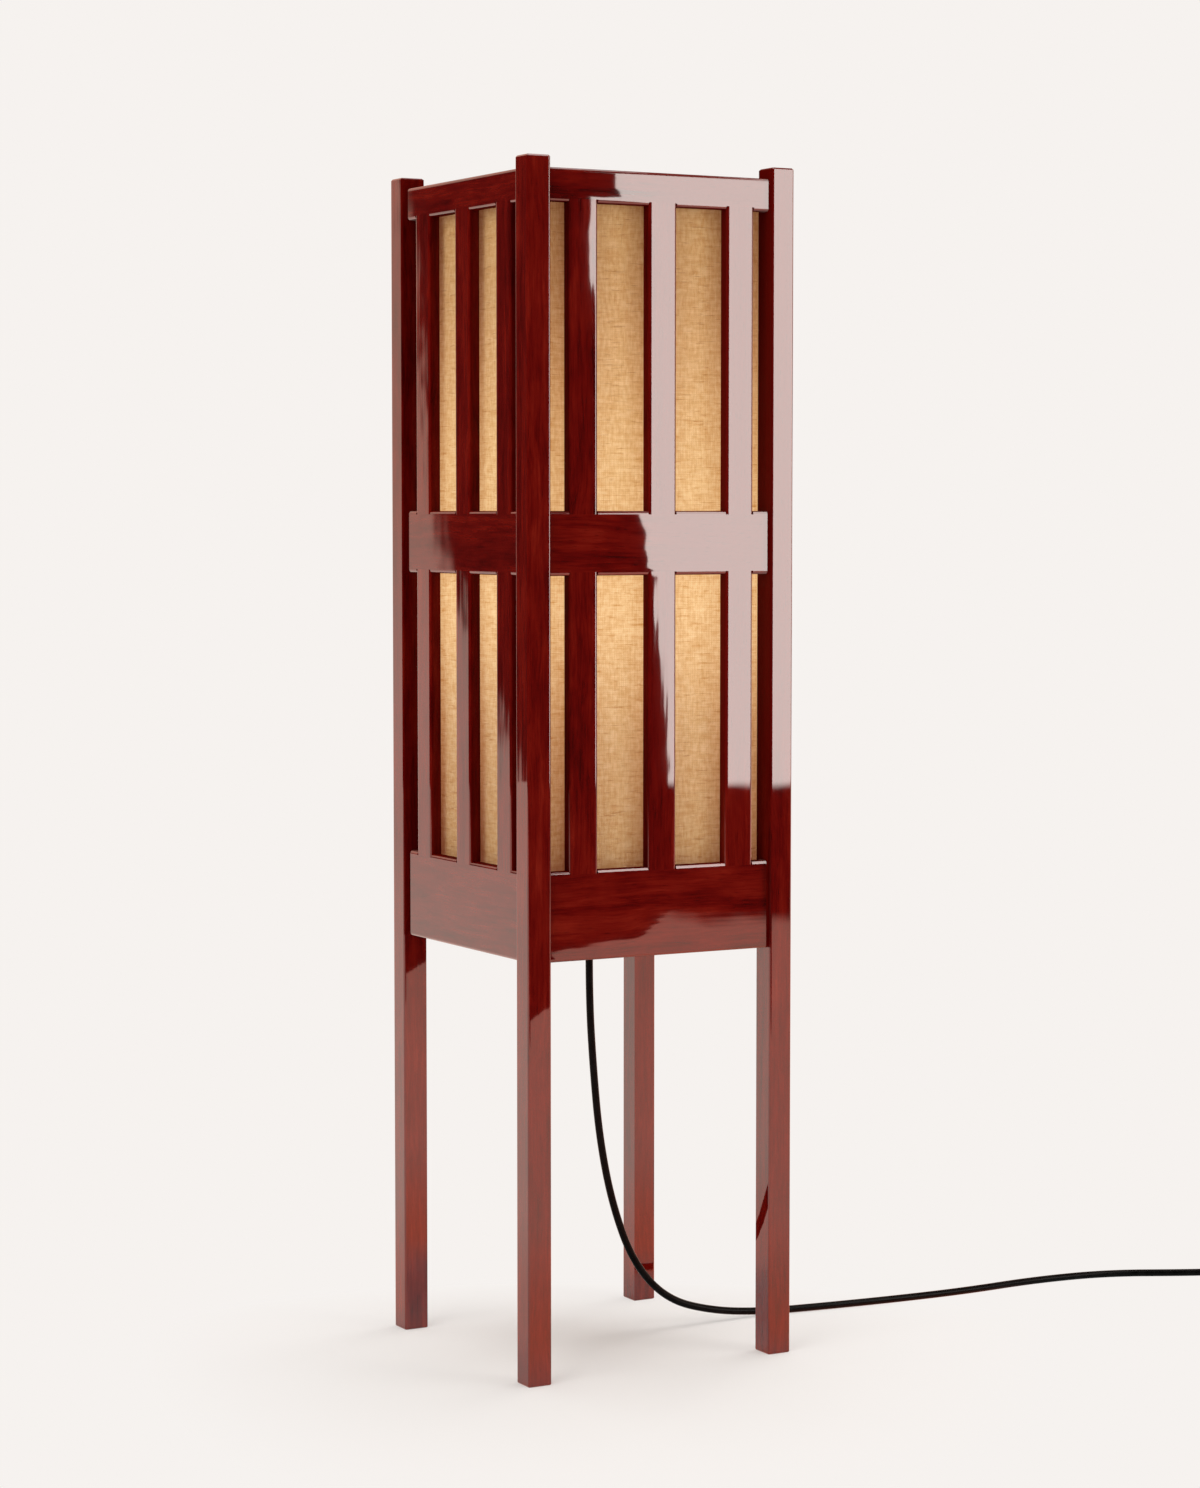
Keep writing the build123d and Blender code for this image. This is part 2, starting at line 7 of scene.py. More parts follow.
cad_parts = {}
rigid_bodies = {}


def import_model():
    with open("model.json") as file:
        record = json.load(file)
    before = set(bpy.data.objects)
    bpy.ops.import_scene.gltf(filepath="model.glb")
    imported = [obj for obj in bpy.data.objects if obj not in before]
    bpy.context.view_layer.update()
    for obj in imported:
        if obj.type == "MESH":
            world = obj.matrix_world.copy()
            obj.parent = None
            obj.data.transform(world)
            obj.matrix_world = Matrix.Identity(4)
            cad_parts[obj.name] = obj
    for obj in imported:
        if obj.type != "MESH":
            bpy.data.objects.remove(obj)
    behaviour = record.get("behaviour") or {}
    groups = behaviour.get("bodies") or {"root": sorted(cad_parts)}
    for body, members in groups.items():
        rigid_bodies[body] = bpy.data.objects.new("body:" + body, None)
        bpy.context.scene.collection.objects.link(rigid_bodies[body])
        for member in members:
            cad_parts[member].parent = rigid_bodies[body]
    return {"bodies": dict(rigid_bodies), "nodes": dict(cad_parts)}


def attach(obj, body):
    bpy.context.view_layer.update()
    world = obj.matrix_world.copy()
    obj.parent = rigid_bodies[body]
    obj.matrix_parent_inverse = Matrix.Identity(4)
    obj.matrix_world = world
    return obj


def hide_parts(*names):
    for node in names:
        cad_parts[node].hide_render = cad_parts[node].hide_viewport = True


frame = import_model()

# Only the frame's own objects stay.
nodes = frame["nodes"]
own = set(nodes.values()) | set(frame["bodies"].values())
for extra in [o for o in bpy.data.objects if o not in own]:
    bpy.data.objects.remove(extra)
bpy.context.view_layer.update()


def placed(name, data):
    """A new object of this data, in the scene."""
    made = bpy.data.objects.new(name, data)
    bpy.context.scene.collection.objects.link(made)
    return made


def turned(place, right, up, back):
    """The matrix of an object at this place, with these as its own three axes."""
    return Matrix.Translation(place) @ Matrix((right, up, back)).transposed().to_4x4()


# ---------------------------------------------------------------- camera

# Solved from the posts' corners in the photograph.
CAMERA_PLACE = (-1.6020, -2.9000, 0.7991)
CAMERA_RIGHT = (0.87380, -0.48628, 0)
CAMERA_UP = (0.03238, 0.05818, 0.99778)
CAMERA_BACK = (-0.48520, -0.87186, 0.06658)
SENSOR_WIDTH, LENS = 36, 83.74

camera_data = bpy.data.cameras.new("camera")
camera_data.sensor_width = SENSOR_WIDTH
camera_data.lens = LENS
camera = placed("camera", camera_data)
camera.matrix_world = turned(CAMERA_PLACE, CAMERA_RIGHT, CAMERA_UP, CAMERA_BACK)
bpy.context.scene.camera = camera


# ---------------------------------------------------------------- cord

# The cord's places and sizes are in millimetres.
MM = 0.001
CORD_DIAMETER = 7.3

# Out of the grip, down in a slack curve and away over the floor to the switch.
run_points = [
    (0, 0, 376), (0, 0, 332), (4.3, 0, 265), (11.5, 0.3, 195), (26, 0.6, 128),
    (50, 1, 68), (88, 1.6, 28), (140, 2, 11), (198, 1.5, 3.65), (262, -8, 3.65),
    (345, -17, 3.65), (430, -21, 3.65), (520, -15, 3.65), (606, -25, 3.65),
    (680, -64, 3.65), (725, -89, 5), (749, -99, 5),
]
# Through the switch and round to the coil.
tail_points = [
    (821, -129, 5), (845, -139, 5), (866, -169, 3.65), (864, -206, 3.65),
    (832, -232, 3.65), (782, -240, 3.65), (724, -238.5, 4), (672, -239.65, 4.45),
]
# Off the coil, over its outer turn and into the plug.
lead_points = [(697, -159.6, 12.2), (718, -164.5, 8), (736, -170.5, 7.5), (742, -172.5, 7.5)]

COIL_MIDDLE = (672, -196)
TURN_POINTS = 16
OUTER, INNER, UPPER = 43.65, 36.35, 40
LOW, HIGH, CROSSING = 4.45, 10.8, 11.8
# Degrees wound in all, and those over which the cord moves in to the inner turn, climbs,
# moves out again, rises to cross the turns below, and sinks.
COIL_TRAVEL = 910
INWARD, CLIMB, OUTWARD, RISE, SINK = (290, 360), (596, 662), (610, 675), (650, 680), (700, 740)


def ease(value, start, end):
    """From 0 at start to 1 at end, smoothly."""
    share = min(max((value - start) / (end - start), 0), 1)
    return share * share * (3 - 2 * share)


def coil_point(travel):
    """A point of the coil, by the degrees wound since the cord came in at its near side."""
    reach = OUTER + (INNER - OUTER) * ease(travel, *INWARD)
    reach += (UPPER - INNER) * ease(travel, *OUTWARD)
    rise = LOW + (HIGH - LOW) * ease(travel, *CLIMB)
    rise += (CROSSING - HIGH) * (ease(travel, *RISE) - ease(travel, *SINK))
    around = math.radians(270 - travel)
    # A quadratic spline runs this much inside its control points.
    reach /= 0.75 + 0.25 * math.cos(math.tau / TURN_POINTS)
    return (
        COIL_MIDDLE[0] + reach * math.cos(around),
        COIL_MIDDLE[1] + reach * math.sin(around),
        rise,
    )


coil_steps = int(COIL_TRAVEL * TURN_POINTS / 360)
coil_points = [coil_point((k + 1) * COIL_TRAVEL / coil_steps) for k in range(coil_steps)]
route = run_points + tail_points + coil_points + lead_points

cord_curve = bpy.data.curves.new("mains_cord", "CURVE")
cord_curve.dimensions = "3D"
spline = cord_curve.splines.new("NURBS")
spline.points.add(len(route) - 1)
for point, place in zip(spline.points, route):
    point.co = (*[value * MM for value in place], 1)
    point.radius = CORD_DIAMETER / 2 * MM
spline.order_u = 3
spline.use_endpoint_u = True
cord_curve.resolution_u = 10
cord_curve.bevel_depth = 1.0
cord_curve.bevel_resolution = 6
cord_curve.use_fill_caps = True
mains_cord = placed("mains_cord", cord_curve)
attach(mains_cord, "lamp")
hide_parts("cord_run", "cord_tail", "cord_coil", "cord_lead")


# ---------------------------------------------------------------- cloth

CLOTH_OUT = 0.1168
CLOTH_THICK = 0.0007
HEM, HEM_SOFT, HEM_THICK = 0.009, 0.001, 0.0005
CLOTH_LOW, CLOTH_HIGH = 0.4243, 1.1
WIDE_PANEL, NARROW_PANEL = 0.2336, 0.2316
ACROSS_CELLS, UP_CELLS = 40, 112
SHARP_FROM = 50
# The cloth is held at its edge and comes free over this way. It is pulled in a little, more
# or less so in slow and quick waves: how many to the metre across, and up.
FREE = (0.004, 0.03)
PULLED_IN, SLOW_PULL, QUICK_PULL = 0.0004, 0.0005, 0.00016
SLOW, QUICK = (14, 5), (46, 22)


def cloth_relief(across, up, half, seed):
    """How far the stretched cloth lies inside its frame: a faint pull from stick to stick."""
    edge = min(half - abs(across), up - CLOTH_LOW, CLOTH_HIGH - up)
    free = ease(edge, *FREE)
    slow = noise.noise(Vector((across * SLOW[0], up * SLOW[1], seed)))
    quick = noise.noise(Vector((across * QUICK[0], up * QUICK[1], seed + 7)))
    return free * (SLOW_PULL * slow + QUICK_PULL * quick - PULLED_IN)


def cloth_panel(name, node, along, outward, width, seed):
    """One stretched panel: an outer and an inner skin, hemmed at the top and the bottom."""
    half = width / 2
    verts = []
    for skin in (0, 1):
        for j in range(UP_CELLS + 1):
            up = CLOTH_LOW + (CLOTH_HIGH - CLOTH_LOW) * j / UP_CELLS
            hem = 1 - ease(min(up - CLOTH_LOW, CLOTH_HIGH - up), HEM - HEM_SOFT, HEM + HEM_SOFT)
            for i in range(ACROSS_CELLS + 1):
                across = -half + width * i / ACROSS_CELLS
                out = CLOTH_OUT + cloth_relief(across, up, half, seed)
                out -= skin * (CLOTH_THICK + HEM_THICK * hem)
                verts.append(Vector(along) * across + Vector(outward) * out + Vector((0, 0, up)))
    row = ACROSS_CELLS + 1
    layer = row * (UP_CELLS + 1)
    faces = []
    for j in range(UP_CELLS):
        for i in range(ACROSS_CELLS):
            a = j * row + i
            faces.append((a, a + 1, a + row + 1, a + row))
            faces.append((layer + a, layer + a + row, layer + a + row + 1, layer + a + 1))
    for j in range(UP_CELLS):
        for a in (j * row, j * row + ACROSS_CELLS):
            quad = (a, a + row, layer + a + row, layer + a)
            faces.append(quad if a % row == 0 else quad[::-1])
    for i in range(ACROSS_CELLS):
        for a in (i, UP_CELLS * row + i):
            quad = (a, layer + a, layer + a + 1, a + 1)
            faces.append(quad if a == i else quad[::-1])
    mesh = bpy.data.meshes.new(name)
    mesh.from_pydata(verts, [], faces)
    mesh.validate()
    mesh.polygons.foreach_set("use_smooth", [True] * len(mesh.polygons))
    mesh.set_sharp_from_angle(angle=math.radians(SHARP_FROM))
    panel = placed(name, mesh)
    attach(panel, "shade")
    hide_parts(node)
    return panel


panels = [
    cloth_panel("cloth_front", "shade_cloth_front", (1, 0, 0), (0, -1, 0), WIDE_PANEL, 1.7),
    cloth_panel("cloth_back", "shade_cloth_back", (-1, 0, 0), (0, 1, 0), WIDE_PANEL, 5.2),
    cloth_panel("cloth_right", "shade_cloth_right", (0, 1, 0), (1, 0, 0), NARROW_PANEL, 9.4),
    cloth_panel("cloth_left", "shade_cloth_left", (0, -1, 0), (-1, 0, 0), NARROW_PANEL, 13.1),
]


# ---------------------------------------------------------------- material helpers

def add(tree, kind, inputs=None, **settings):
    """A new shader node, with its sockets linked or set."""
    made = tree.nodes.new(kind)
    for key, value in settings.items():
        setattr(made, key, value)
    for key, value in (inputs or {}).items():
        if isinstance(value, bpy.types.NodeSocket):
            tree.links.new(value, made.inputs[key])
        else:
            made.inputs[key].default_value = value
    return made


def calc(tree, operation, *values):
    """A Math node's result."""
    return add(tree, "ShaderNodeMath", dict(enumerate(values)), operation=operation).outputs[0]


def vector_calc(tree, operation, *values, result="Vector"):
    """A Vector Math node's result."""
    made = add(tree, "ShaderNodeVectorMath", dict(enumerate(values)), operation=operation)
    return made.outputs[result]


def scaled(tree, vector, scale):
    """A vector with each axis multiplied by its own number."""
    return vector_calc(tree, "MULTIPLY", vector, scale)


def split(tree, vector):
    """A vector's x, y and z."""
    return add(tree, "ShaderNodeSeparateXYZ", {0: vector}).outputs


def cloud(tree, vector, scale, detail=2.0, rough=0.5, twist=0.0):
    """Noise between 0 and 1, at this many waves to the metre."""
    inputs = {"Vector": vector, "Scale": scale, "Detail": detail}
    inputs |= {"Roughness": rough, "Distortion": twist}
    return add(tree, "ShaderNodeTexNoise", inputs).outputs[0]


def span(tree, value, start, end, low=0.0, high=1.0, way="SMOOTHSTEP"):
    """The value's way from start to end as low to high, and nothing beyond either."""
    inputs = {"Value": value, "From Min": start, "From Max": end, "To Min": low, "To Max": high}
    return add(tree, "ShaderNodeMapRange", inputs, interpolation_type=way).outputs["Result"]


def ramp(tree, value, stops, way="LINEAR"):
    """A colour from stops of (position, (r, g, b))."""
    made = add(tree, "ShaderNodeValToRGB", {"Fac": value})
    made.color_ramp.interpolation = way
    elements = made.color_ramp.elements
    while len(elements) < len(stops):
        elements.new(0.5)
    for element, (position, colour) in zip(elements, stops):
        element.position = position
        element.color = (*colour, 1)
    return made.outputs["Color"]


def blend(tree, share, first, second):
    """Two colours mixed, each a socket or (r, g, b)."""
    first, second = [(*part, 1) if isinstance(part, tuple) else part for part in (first, second)]
    made = add(tree, "ShaderNodeMix", {0: share, 6: first, 7: second}, data_type="RGBA")
    return made.outputs[2]


def bump(tree, height, distance):
    """A normal from a height, in metres."""
    inputs = {"Height": height, "Distance": distance, "Strength": 1.0}
    return add(tree, "ShaderNodeBump", inputs).outputs["Normal"]


def cleared(holder):
    """The emptied node tree of a new material or world."""
    holder.use_nodes = True
    holder.node_tree.nodes.clear()
    return holder.node_tree


def material(name, **constants):
    """A new material with these numbers on its shader, and its object coordinates in metres."""
    made = bpy.data.materials.new(name)
    made.use_nodes = True
    tree = made.node_tree
    shader = tree.nodes["Principled BSDF"]
    for key, value in constants.items():
        shader.inputs[key.replace("_", " ")].default_value = value
    place = add(tree, "ShaderNodeTexCoord").outputs["Object"]
    return made, tree, shader, place


def dress(names, made):
    """Gives CAD nodes a material."""
    for name in names:
        for holder in nodes[name].material_slots:
            holder.material = made


# ---------------------------------------------------------------- lacquered wood

# Outer faces are rubbed to a mirror. In the recesses beside the cloth the coat is faded out and
# the wood's colour darkened, both as painted shade.
RAIL_BACK, RAIL_FACE = 0.1320, 0.1332
POST_INNER, POST_OUTER = 0.1173, 0.1188
LEG_TOP, LEG_SOFT = 0.389, 0.002
RECESS_GLOSS = 0.05
POST_RECESS_PAINTED_SHADE, FRAME_RECESS_PAINTED_SHADE = 0.70, 0.64

# How far the grain wanders, and the parts that make up its tone.
WANDER = (0.012, 0.012, 0.012)
STREAKS, FIGURE, FIBRES, MOTTLE = 0.55, 0.45, 0.25, 0.36
MOTTLE_SQUEEZE = 0.35
WOOD_REDS = [
    (0.32, (0.050, 0.0008, 0.0006)),
    (0.45, (0.105, 0.0018, 0.0012)),
    (0.56, (0.145, 0.0045, 0.0022)),
    (0.70, (0.200, 0.0110, 0.0050)),
]
PORE_RED, PORE_DEPTH = (0.028, 0.0008, 0.0008), 0.5
# The wood of the upper right is plainer.
PLAIN_FROM_X, PLAIN_FROM_Z, PLAINNESS = (-0.03, 0.02), (0.50, 0.62), 0.85
# The lacquer is glass-smooth, but it follows the rubbed-down wood in long shallow waves.
COAT_RELIEF, WOOD_RELIEF, RIBS = 0.00007, 0.00005, 0.10


def polish(tree, place, post):
    """How full the gloss is by place in the frame, low in the recesses as painted shade."""
    axes = split(tree, place)
    x, y = calc(tree, "ABSOLUTE", axes[0]), calc(tree, "ABSOLUTE", axes[1])
    if not post:
        outer = calc(tree, "MAXIMUM", x, y)
        return span(tree, outer, RAIL_BACK, RAIL_FACE, RECESS_GLOSS, 1.0)
    outer = span(tree, calc(tree, "MINIMUM", x, y), POST_INNER, POST_OUTER, RECESS_GLOSS, 1.0)
    leg = span(tree, axes[2], LEG_TOP, LEG_TOP + LEG_SOFT, 1.0, 0.0)
    return calc(tree, "MAXIMUM", outer, leg)


def lacquered(name, stretch, drift, post=False):
    """Polished dark red wood under a thick gloss lacquer, with the grain along one axis."""
    made, tree, shader, place = material(
        name, Roughness=0.45, Specular_IOR_Level=0.0, Coat_IOR=1.65, Coat_Roughness=0.018
    )
    moved = vector_calc(tree, "ADD", place, drift)
    sway = cloud(tree, moved, 9.0, 1.0)
    grain = scaled(tree, vector_calc(tree, "MULTIPLY_ADD", sway, WANDER, moved), stretch)
    figure = cloud(tree, grain, 34.0, 3.0, 0.55)
    streaks = cloud(tree, grain, 190.0, 5.0, 0.62, 0.6)
    fibres = cloud(tree, grain, 900.0, 2.0, 0.6)
    squeezed = scaled(tree, moved, tuple(max(MOTTLE_SQUEEZE, part) for part in stretch))
    mottle = cloud(tree, squeezed, 55.0, 3.0, 0.6)
    tone = calc(tree, "MULTIPLY_ADD", streaks, STREAKS, calc(tree, "MULTIPLY", figure, FIGURE))
    for part, share in ((fibres, FIBRES), (mottle, MOTTLE)):
        tone = calc(tree, "MULTIPLY_ADD", part, share, calc(tree, "SUBTRACT", tone, share / 2))
    axes = split(tree, place)
    right, upper = span(tree, axes[0], *PLAIN_FROM_X), span(tree, axes[2], *PLAIN_FROM_Z)
    lively = calc(tree, "MULTIPLY_ADD", calc(tree, "MULTIPLY", right, upper), -PLAINNESS, 1.0)
    tone = calc(tree, "MULTIPLY_ADD", calc(tree, "SUBTRACT", tone, 0.5), lively, 0.5)
    pores = span(tree, cloud(tree, grain, 1500.0, 1.0), 0.64, 0.74)
    pores = calc(tree, "MULTIPLY", pores, PORE_DEPTH)
    colour = blend(tree, pores, ramp(tree, tone, WOOD_REDS), PORE_RED)

    # In the recesses the coat is faded and the colour darkened: painted shade.
    gloss = polish(tree, place, post)
    shade = POST_RECESS_PAINTED_SHADE if post else FRAME_RECESS_PAINTED_SHADE
    painted_recess_shade = calc(tree, "MULTIPLY_ADD", gloss, 1.0 - shade, shade)
    recess_shaded_colour = add(tree, "ShaderNodeVectorMath", {0: colour, "Scale": painted_recess_shade}, operation="SCALE")
    tree.links.new(recess_shaded_colour.outputs[0], shader.inputs["Base Color"])
    tree.links.new(gloss, shader.inputs["Coat Weight"])

    waves = cloud(tree, moved, 22.0, 1.0, 0.4)
    swell = calc(tree, "MULTIPLY_ADD", cloud(tree, grain, 140.0, 1.0, 0.5), RIBS, waves)
    tree.links.new(bump(tree, swell, COAT_RELIEF), shader.inputs["Coat Normal"])
    tree.links.new(bump(tree, streaks, WOOD_RELIEF), shader.inputs["Normal"])
    return made


UP, ALONG_X, ALONG_Y = (1, 1, 0.05), (0.05, 1, 1), (1, 0.05, 1)
wood_post = lacquered("lacquered_posts", UP, (0.31, 0.17, 0.0), post=True)
wood_up = lacquered("lacquered_slats", UP, (0.11, 0.47, 0.0))
wood_x = lacquered("lacquered_rails_x", ALONG_X, (0.0, 0.43, 0.27))
wood_y = lacquered("lacquered_rails_y", ALONG_Y, (0.67, 0.0, 0.53))
SIDES = ("front", "right", "back", "left")
POSTS = [f"post_{a}_{b}" for a in ("front", "back") for b in ("left", "right")]
dress(POSTS, wood_post)
dress([f"slat_{side}_{k}" for side in SIDES for k in (1, 2, 3)], wood_up)
for side in SIDES:
    lengthwise = wood_x if side in ("front", "back") else wood_y
    dress([f"{level}_rail_{side}" for level in ("top", "mid", "bottom")], lengthwise)

# In the photograph the rails' ends don't mirror the posts beside them.
for name in POSTS:
    nodes[name].visible_glossy = False


# ---------------------------------------------------------------- cloth material

WARP_PITCH, WEFT_PITCH, THREAD_DRIFT = 0.0019, 0.0017, 0.0022
THREAD_TONES = (0.34, 0.66)
LINEN = [
    (0.10, (0.445, 0.268, 0.086)),
    (0.50, (0.490, 0.330, 0.126)),
    (0.90, (0.540, 0.398, 0.178)),
]
SLUB_TINT, SLUB_SHARE = (0.26, 0.120, 0.032), 0.40
WEAVE_RELIEF, SLUB_RELIEF = 0.00022, 0.7

# From the shade's foot to its top. Nearest the bulb the cloth's own colour is painted darker and
# bluer, so that shadows on it fade there, and the glow is strongest.
BULB_HEIGHT_PAINTED_DIMMING = [
    (0.00, (1.00, 1.00, 1.00)),
    (0.10, (0.85, 0.95, 1.05)),
    (0.25, (0.55, 0.75, 1.00)),
    (0.41, (0.35, 0.45, 0.60)),
    (0.60, (0.50, 0.65, 0.85)),
    (0.75, (0.70, 0.80, 0.95)),
    (0.92, (1.00, 1.00, 1.00)),
]
# The glow is painted on as emission by height, in place of the bulb's light through the cloth.
PAINTED_GLOW = [
    (0.00, (0.030, 0.002, 0.000)),
    (0.07, (0.110, 0.022, 0.010)),
    (0.18, (0.270, 0.098, 0.038)),
    (0.29, (0.420, 0.188, 0.074)),
    (0.42, (0.710, 0.420, 0.190)),
    (0.58, (0.560, 0.300, 0.122)),
    (0.71, (0.425, 0.205, 0.080)),
    (0.84, (0.227, 0.085, 0.034)),
    (1.00, (0.060, 0.010, 0.003)),
]
PAINTED_GLOW_STRENGTH = 1.2
# In the painted glow, denser threads pass less blue than red: its slope by colour, and its base.
HUE_SLOPE, HUE_BASE = (0.62, 1.10, 1.70), (0.38, -0.10, -0.70)
LEAST_THROUGH = 0.5


def woven():
    """Coarse natural linen with slubs, and the bulb's light through it painted on as emission."""
    made, tree, shader, place = material(
        "cloth",
        Roughness=0.92,
        Emission_Strength=PAINTED_GLOW_STRENGTH,
        Sheen_Weight=0.12,
        Sheen_Roughness=0.5,
    )
    x, y, up = split(tree, place)
    # On each panel one of x and y stays the same, so that their sum runs across it.
    across = calc(tree, "ADD", x, y)
    # The third coordinate only keeps the front and back apart from the left and right.
    facing = calc(tree, "SUBTRACT", calc(tree, "ABSOLUTE", x), calc(tree, "ABSOLUTE", y))
    pair = span(tree, facing, -0.001, 0.001, 0.0, 3.0)
    flat = add(tree, "ShaderNodeCombineXYZ", {0: across, 1: up, 2: pair}).outputs[0]
    lean = cloud(tree, scaled(tree, flat, (1, 0.25, 1)), 55.0, 2.0)
    wander = cloud(tree, scaled(tree, flat, (0.2, 1, 1)), 60.0, 2.0)
    warp_at = calc(tree, "MULTIPLY_ADD", lean, THREAD_DRIFT, across)
    weft_at = calc(tree, "MULTIPLY_ADD", wander, THREAD_DRIFT, up)
    warp = calc(tree, "SINE", calc(tree, "MULTIPLY", warp_at, math.pi / WARP_PITCH))
    weft = calc(tree, "SINE", calc(tree, "MULTIPLY", weft_at, math.pi / WEFT_PITCH))
    warp_round = calc(tree, "ABSOLUTE", warp)
    weft_round = calc(tree, "ABSOLUTE", weft)
    above = span(tree, calc(tree, "MULTIPLY", warp, weft), -0.3, 0.3)
    height = add(
        tree, "ShaderNodeMix", {0: above, 2: weft_round, 3: warp_round}, data_type="FLOAT"
    ).outputs[0]

    # Threads differ in colour and thickness along their length, and some have slubs.
    weft_tone = cloud(tree, scaled(tree, flat, (0.20, 1, 1)), 300.0, 3.0, 0.6)
    warp_tone = cloud(tree, scaled(tree, flat, (1, 0.28, 1)), 330.0, 3.0, 0.6)
    weft_tone = span(tree, weft_tone, *THREAD_TONES)
    warp_tone = span(tree, warp_tone, *THREAD_TONES)
    weft_slub = cloud(tree, scaled(tree, flat, (0.10, 1, 1)), 420.0, 2.0, 0.6)
    warp_slub = cloud(tree, scaled(tree, flat, (1, 0.08, 1)), 420.0, 2.0, 0.6)
    patches = cloud(tree, flat, 60.0, 4.0, 0.62)
    specks = cloud(tree, flat, 500.0, 2.0, 0.7)
    faint_slub = calc(tree, "MULTIPLY", span(tree, warp_slub, 0.62, 0.72), 0.5)
    thick = calc(tree, "MAXIMUM", span(tree, weft_slub, 0.60, 0.68), faint_slub)

    thread = calc(tree, "MULTIPLY_ADD", weft_tone, 0.45, calc(tree, "MULTIPLY", warp_tone, 0.55))
    slubs = calc(tree, "MULTIPLY", thick, SLUB_SHARE)
    tint = blend(tree, slubs, ramp(tree, thread, LINEN), SLUB_TINT)
    level = calc(tree, "DIVIDE", calc(tree, "SUBTRACT", up, CLOTH_LOW), CLOTH_HIGH - CLOTH_LOW)
    # The cloth's colour is painted darker near the bulb's height: painted light that fades the
    # shadows.
    bulb_height_dimmed_tint = vector_calc(tree, "MULTIPLY", tint, ramp(tree, level, BULB_HEIGHT_PAINTED_DIMMING))
    tree.links.new(bulb_height_dimmed_tint, shader.inputs["Base Color"])

    # The painted glow is brighter between the threads, and dimmer at specks and slubs.
    gaps = calc(tree, "SUBTRACT", 1.0, calc(tree, "MAXIMUM", warp_round, weft_round))
    through = calc(tree, "MULTIPLY_ADD", patches, 0.60, 0.60)
    for part, share in (
        (specks, -0.30), (gaps, 0.45), (weft_tone, 0.17), (warp_tone, 0.15), (thick, -0.26)
    ):
        through = calc(tree, "MULTIPLY_ADD", part, share, through)
    through = calc(tree, "MAXIMUM", through, LEAST_THROUGH)
    hue = vector_calc(tree, "MULTIPLY_ADD", through, HUE_SLOPE, HUE_BASE)
    light = vector_calc(tree, "MULTIPLY", ramp(tree, level, PAINTED_GLOW, "B_SPLINE"), hue)
    tree.links.new(light, shader.inputs["Emission Color"])

    raised = calc(tree, "MULTIPLY_ADD", thick, SLUB_RELIEF, height)
    tree.links.new(bump(tree, raised, WEAVE_RELIEF), shader.inputs["Normal"])
    return made


cloth = woven()
for panel in panels:
    panel.data.materials.append(cloth)


# ---------------------------------------------------------------- plain wood and board

PLY_PAIR = 0.0036
PINE = (0.62, 0.43, 0.24), (0.42, 0.25, 0.11)
BIRCH = (0.58, 0.42, 0.26), (0.40, 0.26, 0.14)


def bare_wood(name, stretch, light, dark, plies=False):
    """Unfinished wood, with plies on the edges where it is a board."""
    made, tree, shader, place = material(name, IOR=1.45)
    grain = scaled(tree, place, stretch)
    lines = cloud(tree, grain, 260.0, 5.0, 0.6, 0.8)
    broad = cloud(tree, grain, 40.0, 2.0)
    tone = calc(tree, "MULTIPLY_ADD", lines, 0.6, calc(tree, "MULTIPLY", broad, 0.4))
    colour = ramp(tree, tone, [(0.32, dark), (0.62, light)])
    if plies:
        up = split(tree, place)[2]
        band = calc(tree, "SINE", calc(tree, "MULTIPLY", up, math.tau / PLY_PAIR))
        facing = add(tree, "ShaderNodeNewGeometry").outputs["Normal"]
        upright = calc(tree, "LESS_THAN", calc(tree, "ABSOLUTE", split(tree, facing)[2]), 0.5)
        edge = calc(tree, "MULTIPLY", span(tree, band, -0.2, 0.2), upright)
        colour = blend(tree, calc(tree, "MULTIPLY", edge, 0.6), colour, dark)
    tree.links.new(colour, shader.inputs["Base Color"])
    tree.links.new(span(tree, lines, 0.3, 0.7, 0.5, 0.72), shader.inputs["Roughness"])
    tree.links.new(bump(tree, lines, 0.00015), shader.inputs["Normal"])
    return made


dress(["shade_uprights"], bare_wood("pine_up", (1, 1, 0.06), *PINE))
dress(
    ["shade_sticks_bottom", "shade_sticks_top", "board_cleats"],
    bare_wood("pine_flat", (0.5, 0.06, 1), *PINE),
)
dress(["base_board"], bare_wood("plywood", (0.07, 1, 1), *BIRCH, plies=True))


# ---------------------------------------------------------------- metal, plastic, glass

def metal(name, colour, worn, low, high, brush=(1, 1, 1)):
    """Metal with uneven polish and tarnish."""
    made, tree, shader, place = material(name, Metallic=1.0)
    patch = cloud(tree, place, 150.0, 4.0, 0.6)
    scratch = cloud(tree, scaled(tree, place, brush), 1800.0, 2.0)
    tree.links.new(ramp(tree, patch, [(0.40, colour), (0.72, worn)]), shader.inputs["Base Color"])
    tree.links.new(span(tree, patch, 0.3, 0.75, low, high), shader.inputs["Roughness"])
    tree.links.new(bump(tree, scratch, 0.00002), shader.inputs["Normal"])
    return made


def plastic(name, colour, low, high, texture, size=2200.0, **constants):
    """Moulded plastic, rubber or glaze with a fine surface and handling marks."""
    made, tree, shader, place = material(name, IOR=1.5, **constants)
    marks = cloud(tree, place, 90.0, 5.0, 0.65)
    skin = cloud(tree, place, size, 2.0, 0.6)
    paler = tuple(min(1.0, value * 1.35 + 0.004) for value in colour)
    tree.links.new(ramp(tree, marks, [(0.35, colour), (0.75, paler)]), shader.inputs["Base Color"])
    tree.links.new(span(tree, marks, 0.3, 0.7, low, high), shader.inputs["Roughness"])
    tree.links.new(bump(tree, skin, texture), shader.inputs["Normal"])
    return made


